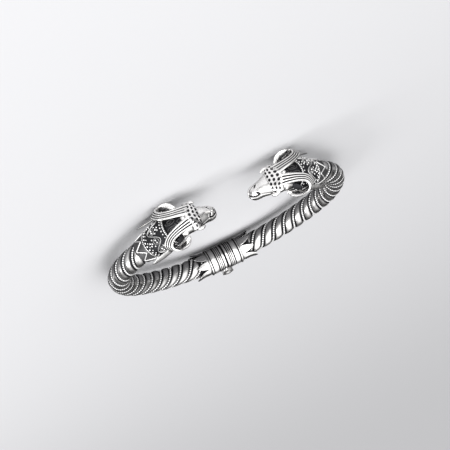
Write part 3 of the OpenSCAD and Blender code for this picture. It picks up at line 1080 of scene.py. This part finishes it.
@dataclass(frozen=True)
class RamHead:
    """Ram's head, drawn with X along the neck, Y out of the ring and Z across."""

    side: Side
    # Place along and out, pitch in degrees, height above and below, half width
    skull_rows: tuple = (
        (10.95, -0.1, 0, 3.3, 3.3, 3.25), (12.4, -0.6, 24, 3.1, 3.3, 3.1),
        (13.6, -1.1, 42, 3.4, 3.3, 3.05), (14.6, -2.3, 64, 3.0, 3.0, 2.95),
        (15.5, -4.0, 75, 2.4, 2.4, 2.45), (16.2, -5.6, 77, 1.9, 1.9, 2.0),
        (16.6, -7.0, 80, 1.6, 1.6, 1.85), (16.8, -8.0, 84, 1.3, 1.3, 1.55),
        (16.9, -8.6, 86, 0.7, 0.7, 0.85))
    # Row at which the skull's grid grows denser, the steps before and after it, half the angles in a
    # ring, and how evenly they stand
    muzzle_row: float = 4.6
    skull_steps: tuple = (50, 121)
    half_ring: int = 80
    evenness: float = 0.4
    # Ridge of the nose: height, half its width in radians, rows in which it rises and falls
    keel: float = 0.22
    keel_width: float = 0.7
    keel_rise: tuple = (3.4, 4.2)
    keel_fall: tuple = (6.6, 5.8)
    # Row of the skull's table and angle off its top, along the line of the mouth up to the nostril
    mouth_places: tuple = ((7.4, 8), (6.9, 20), (6.4, 31), (5.95, 40), (5.55, 44), (5.2, 40),
                           (5.1, 31), (5.25, 24))
    cheek_places: tuple = ((5.25, 44), (4.8, 47), (4.3, 54), (3.8, 62))
    furrow_points: int = 90
    # Mouth's half width, what it widens by towards the nostril, and the shares between which it does
    mouth_reach: float = 0.17
    nostril_more: float = 0.08
    nostril_span: tuple = (0.55, 1.0)
    mouth_cut: float = 0.32
    mouth_shade: tuple = (0.12, 0.5)
    # Height of the lip, its distance from the mouth and its half width
    lip: float = 0.06
    lip_at: float = 0.4
    lip_reach: float = 0.2
    # Depth and half width of the cheek's furrow, then the darkness of the painted shadow along it
    # and how wide that is
    cheek_cut: float = 0.1
    cheek_reach: float = 0.2
    cheek_shadow_tone: float = 0.5
    cheek_shade: float = 0.22
    # Darkness of the crown, and the places out and along between which it comes in
    crown_tone: float = 0.95
    crown_out: tuple = (0.4, 1.2)
    crown_along: tuple = (16.2, 15.2)
    # Width off the middle, and there the place along and out of the rear and of the front edge
    plate_widths: tuple = (0.0, 1.3, 2.6, 3.4)
    plate_rows: tuple = ((16.9, 2.1, 17.7, -1.9), (17.0, 1.7, 17.6, -2.0), (16.9, 0.8, 17.1, -2.1),
                         (16.3, 0.1, 16.5, -1.9))
    plate_grid: tuple = (120, 56)
    plate_depth: float = 0.6
    under_tone: float = 0.9
    plate_height: float = 4.0
    plate_bulge: float = 0.3
    plate_rim: float = 0.12
    rim_share: float = 0.07
    # Share of the plate's height and sideways shift, in steps, of each row of wells
    dot_rows: tuple = ((0.2, 0.0), (0.5, 0.5), (0.8, 0.0))
    dot_step: float = 1.02
    # Most wells to either side of a row's middle one, and how far from the plate's end they stop
    dots: int = 4
    dot_margin: float = 0.5
    dot_depth: float = 0.3
    dot_r: float = 0.31
    # What is added to the wells' radius where their wall begins and ends, and where their stain does
    dot_wall: tuple = (0.02, -0.2)
    dot_stain: tuple = (0.12, 0.04)
    # Outer edge of the horn's ribbon, then the edge nearer the crown
    horn_rows: tuple = (
        (17.3, 0.2, 2.6, 17.0, 2.0, 0.1), (15.6, 1.7, 2.75, 15.4, 3.0, 0.65),
        (13.8, 3.1, 3.1, 13.3, 3.95, 1.3), (12.0, 3.9, 3.75, 11.1, 4.6, 2.2),
        (10.9, 3.6, 4.75, 9.3, 4.2, 3.4), (10.9, 2.6, 5.55, 8.9, 2.7, 4.2),
        (11.6, 1.5, 5.9, 9.9, 0.7, 4.3), (12.6, 0.2, 5.65, 11.5, -0.5, 3.8),
        (13.0, -0.9, 4.7, 12.4, -1.1, 3.3), (12.8, -1.5, 3.8, 12.6, -1.5, 3.3))
    horn_thick: float = 0.62
    horn_stations: int = 150
    # Points across its outside and inside, and shares of the width at which its rims are full
    horn_grid: tuple = (49, 15)
    horn_rims: tuple = (0.07, 0.93)
    ridges: int = 4
    ridge_power: float = 0.7
    ridge_base: float = 0.1
    # Darkness of the painted shade in the valleys between the ridges, and the wave's heights between
    # which it comes in
    valleys: tuple = ((0.45, 1.0, 0.9), (0.15, 0.9, 0.7), (0.35, 0.6, 0.4))
    valley_rim: tuple = (0.03, 0.1)
    hollow: float = 0.9
    # Share of the valleys' darkness at the horn's tip, and over how many rows it grows from there
    tip_tone: float = 0.3
    tip_rows: float = 0.8
    # Rows between which the inside of the spoon turns bright with painted light, and its tone there
    spoon_rows: tuple = (6.0, 7.2)
    spoon_tone: float = -0.7
    # Scrolls between the horns: row, angle in degrees and way of turning; start and growth of
    # their radius in millimetres, their turns, the millimetres in a row and in a radian, their
    # wire, points along it and round it, and share of each coordinate that points out there
    scrolls: tuple = ((0.55, -17, 1), (0.55, 17, -1), (1.35, 0, 1))
    scroll_r: tuple = (0.15, 0.6)
    scroll_turns: float = 1.5
    scroll_scale: tuple = (1.5, 3.2)
    scroll_wire: tuple = (0.08, 0.12)
    scroll_tone: float = 0.74
    scroll_points: tuple = (60, 8)
    scroll_out: tuple = (0.3, 1, 1)
    # Places along, out and across of the ear, the brow and the leaf beside the neck
    ear_rows: tuple = ((12.6, 0.4, 2.4), (12.1, 0.9, 3.3), (11.5, 1.2, 3.9), (10.8, 1.4, 4.3))
    brow_rows: tuple = ((15.5, -0.6, 2.75), (16.2, -1.4, 3.25), (16.7, -2.2, 3.35),
                        (16.9, -3.0, 2.95))
    leaf_rows: tuple = ((9.7, 2.6, 4.7), (8.3, 1.5, 4.35), (6.6, 1.4, 4.4), (5.0, 1.5, 4.5),
                        (3.6, 1.52, 4.58), (2.1, 1.5, 4.62))
    leaf_tone: float = 0.45
    ear_tone: float = 0.95
    # What swell() is given for their half widths and for the leaf's half height
    ear_wide: tuple = (0.0, 0.85, 0.15, 0.84, 0.8)
    leaf_wide: tuple = (0.08, 0.74, 0.05, 0.95, 0.6)
    leaf_high: tuple = (0.08, 0.2, 0.0, 1.0, 0.5)
    # The ear's half height at its root and the share that it loses, and half the brow's size
    ear_high: tuple = (0.35, 0.6)
    brow_size: tuple = (0.5, 0.42)
    eye_place: tuple = (15.5, -2.9, 2.65)
    eye_r: float = 0.55
    knob_ends: tuple = ((16.3, 1.5, 0.0), (15.1, 2.2, 0.0))
    knob_r: float = 0.8
    # Rough directions of their heights
    ear_out: tuple = (0.3, 0.2, 1.0)
    brow_out: tuple = (0.2, -0.1, 1.0)
    leaf_out: tuple = (0.0, 0.42, 1.0)
    knob_out: tuple = (0.5, 1.0, 0.0)
    # Rings of the short forms and of the leaf, and points in a ring
    short_rings: int = 24
    leaf_rings: int = 48
    form_sides: int = 20
    brow_sides: int = 16
    eye_sides: int = 24
    # Shelter, for the oxide and painted shade in hollows: distance, stride, and where the darkening
    # begins and is complete; then its strength
    shelter: tuple = (2.6, 12, 0.3, 0.85)
    shelter_oxide_and_shade: float = 0.95

    def on_skull(self, t: np.ndarray, a: np.ndarray) -> np.ndarray:
        """Points of the skull's surface at row t and angle a off its top, from an ellipse carried
        along the spine: x + h cos a sin p, y + h cos a cos p, w sin a. The nose has a keel."""
        r = along_rows(self.skull_rows, t)
        pitch = np.radians(r[..., 2])
        keel = (self.keel * ease(*self.keel_rise, t) * ease(*self.keel_fall, t)
                * np.clip(1 - np.abs(a) / self.keel_width, 0, 1))
        h = np.where(np.cos(a) > 0, r[..., 3], r[..., 4]) * np.cos(a) + keel
        return np.stack([r[..., 0] + h * np.sin(pitch), r[..., 1] + h * np.cos(pitch),
                         r[..., 5] * np.sin(a)], -1)

    def furrow(self, points: np.ndarray, places: tuple) -> tuple[np.ndarray, np.ndarray]:
        """How near points are to a line that is drawn on both sides of the skull.

        Args:
            points: Points of the skull.
            places: The line's places, in rows of the skull's table and degrees off its top.

        Returns:
            Distance of each point from the line, and the share of the line's length there.
        """
        route = smooth(places, self.furrow_points)
        line = self.on_skull(route[:, 0], np.radians(route[:, 1]))
        one_side = np.concatenate([points[:, :2], np.abs(points[:, 2:])], 1)
        far = np.linalg.norm(one_side[:, None] - line, axis=2)
        return far.min(1), far.argmin(1) / (self.furrow_points - 1)

    def skull(self) -> Shell:
        """Skull with the furrow of the mouth, a full lip below it and the nostril at its end. Its
        points stand closest along the nose: angle = pi (e f + (1 - e) f^3), f from -1 to 1."""
        before, after = self.skull_steps
        rows = np.concatenate([np.linspace(0, self.muzzle_row, before),
                               np.linspace(self.muzzle_row, len(self.skull_rows) - 1, after)[1:]])
        f = np.arange(-self.half_ring, self.half_ring) / self.half_ring
        a = (self.evenness * f + (1 - self.evenness) * f**3) * TURN / 2
        t = rows[:, None] + 0 * a
        shell = tube(self.on_skull(t, a + 0 * t))
        mouth, share = self.furrow(shell.points, self.mouth_places)
        cheek, _ = self.furrow(shell.points, self.cheek_places)
        cut = hill(mouth, 0, self.mouth_reach + self.nostril_more * ease(*self.nostril_span, share))
        lift = (self.lip * hill(mouth, self.lip_at, self.lip_reach) - self.mouth_cut * cut
                - self.cheek_cut * hill(cheek, 0, self.cheek_reach))
        shell.points = shell.points + lift[:, None] * shell.normals()
        x, y, _ = shell.points.T
        crown = ease(*self.crown_out, y) * ease(*self.crown_along, x)
        # Darkness in the mouth's furrow and on the crown, and the painted shadow along the cheek's
        # furrow
        shell.tone = np.max([ease(*self.mouth_shade, cut), self.crown_tone * crown,
                             self.cheek_shadow_tone * hill(cheek, 0, self.cheek_shade)], axis=0)
        return shell

    def plate(self) -> Shell:
        """Plate over the poll: straight from rear to front edge plus a bulge 4 v (1 - v) outwards,
        with rounded rims, and three staggered rows of round dark wells."""
        rows, columns = self.plate_grid
        z = np.linspace(-self.plate_widths[-1], self.plate_widths[-1], rows)
        at = np.interp(np.abs(z), self.plate_widths, np.arange(len(self.plate_widths)))
        rear_x, rear_y, front_x, front_y = along_rows(self.plate_rows, at).T[..., None]
        v = np.linspace(0, 1, columns)
        rim = self.plate_rim * (1 - ease(0.0, self.rim_share, v) * ease(1.0, 1 - self.rim_share, v))
        top = np.stack([rear_x * (1 - v) + front_x * v + self.plate_bulge * 4 * v * (1 - v) - rim,
                        rear_y * (1 - v) + front_y * v, z[:, None] + 0 * v], -1)
        arc = travelled(top[:, columns // 2])
        arc -= arc[-1] / 2
        near = np.full(top.shape[:2], np.inf)
        for share, shift in self.dot_rows:
            for middle in self.dot_step * (np.arange(-self.dots, self.dots + 1) + shift):
                if abs(middle) <= arc[-1] - self.dot_margin:
                    far = np.hypot(arc[:, None] - middle, (v - share) * self.plate_height)
                    near = np.minimum(near, far)
        well, stain = (ease(*(self.dot_r + more for more in span), near)
                       for span in (self.dot_wall, self.dot_stain))
        top[..., 0] -= self.dot_depth * well
        under = top[:, [-1, 0]]
        under[..., 0] = top[..., 0].min(1, keepdims=True) - self.plate_depth
        below = np.full((rows, 2), self.under_tone)
        return tube(np.concatenate([top, under], 1), np.concatenate([stain, below], 1))

    def horn(self) -> Shell:
        """Ribbon between two smooth edges. Across it, share q of the width, the outside stands out
        by a base plus a power of the ridges' |cos| waves, tapering to thin rims, and the inside is
        hollow. Inside the spoon at its end the tone is below 0, which keeps it bright: painted light
        that outweighs the shelter's darkening."""
        ends = len(self.horn_rows) - 1
        t = np.linspace(0, ends, self.horn_stations)
        r, ahead, behind = (along_rows(self.horn_rows, t + step) for step in (0, 0.1, -0.1))
        width = r[:, 3:] - r[:, :3]
        out = unit(np.cross(width, ahead[:, :3] + ahead[:, 3:] - behind[:, :3] - behind[:, 3:]))
        outside, inside = self.horn_grid
        q1, q2 = np.linspace(0, 1, outside), np.linspace(1, 0, inside)[1:-1]
        wave = np.abs(np.cos(math.pi * (q1 * self.ridges - 0.5)))
        near, far = self.horn_rims
        face = ease(0, near, q1) * ease(1, far, q1) * (self.ridge_base + wave**self.ridge_power)
        back = -self.hollow * (1 - (2 * q2 - 1) ** 4)
        q, lift = np.concatenate([q1, q2]), np.concatenate([face, back])
        rim, full = self.valley_rim
        # Painted shade: grey valleys grading up to bright crests
        valley = (sum(tone * ease(*span, wave) for tone, *span in self.valleys)
                  * ease(rim, full, q1) * ease(1 - rim, 1 - full, q1))
        rings = (r[:, None, :3] + q[:, None] * width[:, None]
                 + (self.horn_thick / 2) * lift[:, None] * out[:, None])
        fade = self.tip_tone + (1 - self.tip_tone) * ease(ends, ends - self.tip_rows, t)[:, None]
        spoon_lit = self.spoon_tone * ease(*self.spoon_rows, t)[:, None] + 0 * q2
        return tube(rings, np.concatenate([valley * fade, spoon_lit], 1))

    def crown_scrolls(self) -> list[Shell]:
        """Thin dim wires between the horns, each a spiral on the skull whose radius grows evenly."""
        count, sides = self.scroll_points
        f = np.linspace(0, 1, count)
        made = []
        for row, angle, way in self.scrolls:
            r, turn = self.scroll_r[0] + self.scroll_r[1] * f, way * self.scroll_turns * TURN * f
            path = self.on_skull(row + r * np.cos(turn) / self.scroll_scale[0],
                                 math.radians(angle) + r * np.sin(turn) / self.scroll_scale[1])
            made.append(carried(path, path * self.scroll_out, *self.scroll_wire, sides,
                                self.scroll_tone))
        return made

    def side_forms(self) -> list[Shell]:
        """Horn, ear, brow, eye and leaf of the side z > 0; ear, brow and leaf are ellipses carried
        along their paths."""
        f, g = np.linspace(0, 1, self.short_rings), np.linspace(0, 1, self.leaf_rings)
        root, loss = self.ear_high
        ear = carried(smooth(self.ear_rows, len(f)), self.ear_out, swell(f, *self.ear_wide),
                      root * (1 - loss * f), self.form_sides, self.ear_tone)
        wide, high = (size * rounded(f) for size in self.brow_size)
        brow = carried(smooth(self.brow_rows, len(f)), self.brow_out, wide, high, self.brow_sides)
        eye = balls(np.array([self.eye_place]), self.eye_r, self.eye_sides)
        leaf = carried(smooth(self.leaf_rows, len(g)), self.leaf_out, swell(g, *self.leaf_wide),
                       swell(g, *self.leaf_high), self.form_sides, self.leaf_tone)
        return [self.horn(), ear, brow, eye, leaf]

    @staticmethod
    @lru_cache(maxsize=1)
    def local() -> Shell:
        """Whole head with its sheltered places darkened by oxide and painted shade. The two heads
        are mirror images.
        """
        head = RamHead(Side.LEFT)
        forms = head.side_forms()
        knob_r = head.knob_r * rounded(np.linspace(0, 1, head.short_rings))
        middle = np.linspace(*np.array(head.knob_ends), head.short_rings)
        knob = carried(middle, head.knob_out, knob_r, knob_r, head.form_sides)
        shell = joined([head.skull(), head.plate(), knob] + head.crown_scrolls() + forms
                       + [s.mirrored_z() for s in forms])
        # Oxide and painted shade in the hollows round horns, ears, plate and neck
        sheltered = head.shelter_oxide_and_shade * crevice_oxide_and_shade(shell, *head.shelter)
        # The spoon's tone below 0 lifts it out of the shelter's darkening: painted light
        shell.tone = np.maximum(shell.tone, sheltered + np.minimum(shell.tone, 0))
        return shell

    def build(self) -> None:
        """Makes the head."""
        piece("rams_head", PATH.on_arm(PATH.neck_s, self.local()), self.side, POLISHED,
              "ram_head", sharp=85)


# ---------------------------------------------------------------- studio


@dataclass(frozen=True)
class Studio:
    """Camera at the photograph's angle, pale floor and soft lights."""

    # Middle of the bright part of the sky, the shares of its direction at which it begins and is
    # full, and the light outside and inside it
    dome: tuple = (0.0, -0.5, 0.87)
    dome_span: tuple = (0.15, 0.85)
    dome_level: tuple = (0.02, 1.7)

    yaw: float = math.radians(9.75)
    elevation: float = math.radians(13.37)
    roll: float = math.radians(153.13)
    distance: float = 0.3028
    lens: float = 95.6
    sensor: float = 36.0
    shift: tuple = (-0.00493, 0.01589)
    clip: tuple = (0.005, 200.0)
    floor_size: float = 30.0
    floor_color: tuple = (0.54, 0.54, 0.553, 1)
    floor_grain: float = 900.0
    floor_roughness: tuple = (0.7, 0.8)
    # Colour of the floor where the metal mirrors it, as with an oval black card under the bracelet
    # and a white one all round: the black card's middle, its stretch, and where it ends
    card_black: tuple = (0.07, 0.07, 0.075, 1)
    card_white: tuple = (0.62, 0.62, 0.63, 1)
    card_middle: tuple = (0, 15 * MM, 0)
    card_stretch: tuple = (0.35, 1, 1)
    card_reach: tuple = (29 * MM, 42 * MM)
    # Name, place in metres, watts and side in metres of the lamps
    lamps: tuple = (("overhead", (0.05, -0.1, 0.5), 0.4, 0.3),
                    ("front_box", (0.02, -0.37, 0.15), 0.8, 0.36),
                    ("side_key", (0.36, 0.0, 0.17), 0.7, 0.15))

    def axes(self) -> tuple[Vector, Vector, Vector]:
        """Right, up and backward directions of the camera in the ring's own frame."""
        c = math.cos(self.elevation)
        back = Vector((math.sin(self.yaw) * c, -math.cos(self.yaw) * c, math.sin(self.elevation)))
        level = Vector((0, 0, 1)).cross(back).normalized()
        up = back.cross(level)
        right = math.cos(self.roll) * level + math.sin(self.roll) * up
        return right, math.cos(self.roll) * up - math.sin(self.roll) * level, back

    def camera(self) -> None:
        """Camera of the fitted perspective, carried with the ring's tilt."""
        data = bpy.data.cameras.new("photo_camera")
        data.sensor_width, data.lens = self.sensor, self.lens
        data.shift_x, data.shift_y = self.shift
        data.clip_start, data.clip_end = self.clip
        made = new_object("photo_camera", data)
        right, up, back = self.axes()
        turn = Matrix((right, up, back)).transposed().to_4x4()
        turn.translation = back * self.distance
        origin = Matrix.Translation((0, PATH.origin_y * MM, PATH.origin_z * MM))
        made.matrix_world = origin @ Matrix.Rotation(-PATH.rest_tilt, 4, "X") @ turn
        bpy.context.scene.camera = made
        bpy.context.scene.view_settings.view_transform = "Standard"

    def lamp(self, name: str, place: tuple, watts: float, size: float) -> None:
        """Square area light that faces the bracelet."""
        data = bpy.data.lights.new(name, "AREA")
        data.energy, data.size = watts, size
        made = new_object(name, data)
        made.location = place
        made.rotation_euler = (-Vector(place)).to_track_quat("-Z", "Y").to_euler()

    def floor(self) -> None:
        """Large pale plane that the bracelet lies on."""
        h = self.floor_size
        mesh = bpy.data.meshes.new("floor")
        mesh.from_pydata([(-h, -h, 0), (h, -h, 0), (h, h, 0), (-h, h, 0)], [], [(0, 1, 2, 3)])
        material, wiring, shader = new_material("pale_floor")
        off = wiring.vector("SUBTRACT", wiring.place(), self.card_middle).outputs[0]
        oval = wiring.vector("MULTIPLY", off, self.card_stretch).outputs[0]
        far = wiring.vector("LENGTH", oval).outputs["Value"]
        cards = wiring.mix(wiring.span(far, *self.card_reach), self.card_black, self.card_white)
        mirrored = wiring.node("ShaderNodeLightPath").outputs["Is Glossy Ray"]
        grain = wiring.noise(self.floor_grain)
        wiring.feed(shader, {"Base Color": wiring.mix(mirrored, self.floor_color, cards),
                             "Roughness": wiring.span(grain, 0.0, 1.0, *self.floor_roughness)})
        mesh.materials.append(material)
        new_object("floor", mesh)

    def world(self) -> None:
        """Sky that is bright overhead and in front, as under a large soft box, and dim behind."""
        world = bpy.data.worlds.new("studio")
        world.use_nodes = True
        wiring = Wiring(world.node_tree)
        way = wiring.node("ShaderNodeTexCoord").outputs["Generated"]
        share = wiring.vector("DOT_PRODUCT", way, self.dome).outputs["Value"]
        level = wiring.span(share, *self.dome_span, *self.dome_level)
        color = wiring.node("ShaderNodeCombineColor", {0: level, 1: level, 2: level}).outputs[0]
        wiring.feed(world.node_tree.nodes["Background"], {"Color": color})
        bpy.context.scene.world = world

    def build(self) -> None:
        """Makes the studio."""
        self.camera()
        self.floor()
        self.world()
        for lamp in self.lamps:
            self.lamp(*lamp)


def main() -> None:
    """Builds the bracelet's pieces in order, then the studio."""
    logging.basicConfig(level=logging.INFO, format="%(message)s")
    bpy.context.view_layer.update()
    for side in Side:
        RopeArm(side).build()
        BarrelHalf(side).build()
        LeafCollar(side).build()
        NeckSocket(side).build()
        RamHead(side).build()
    dress("hinge_pin", PIN_FINISH)
    Studio().build()


if __name__ == "__main__":
    main()
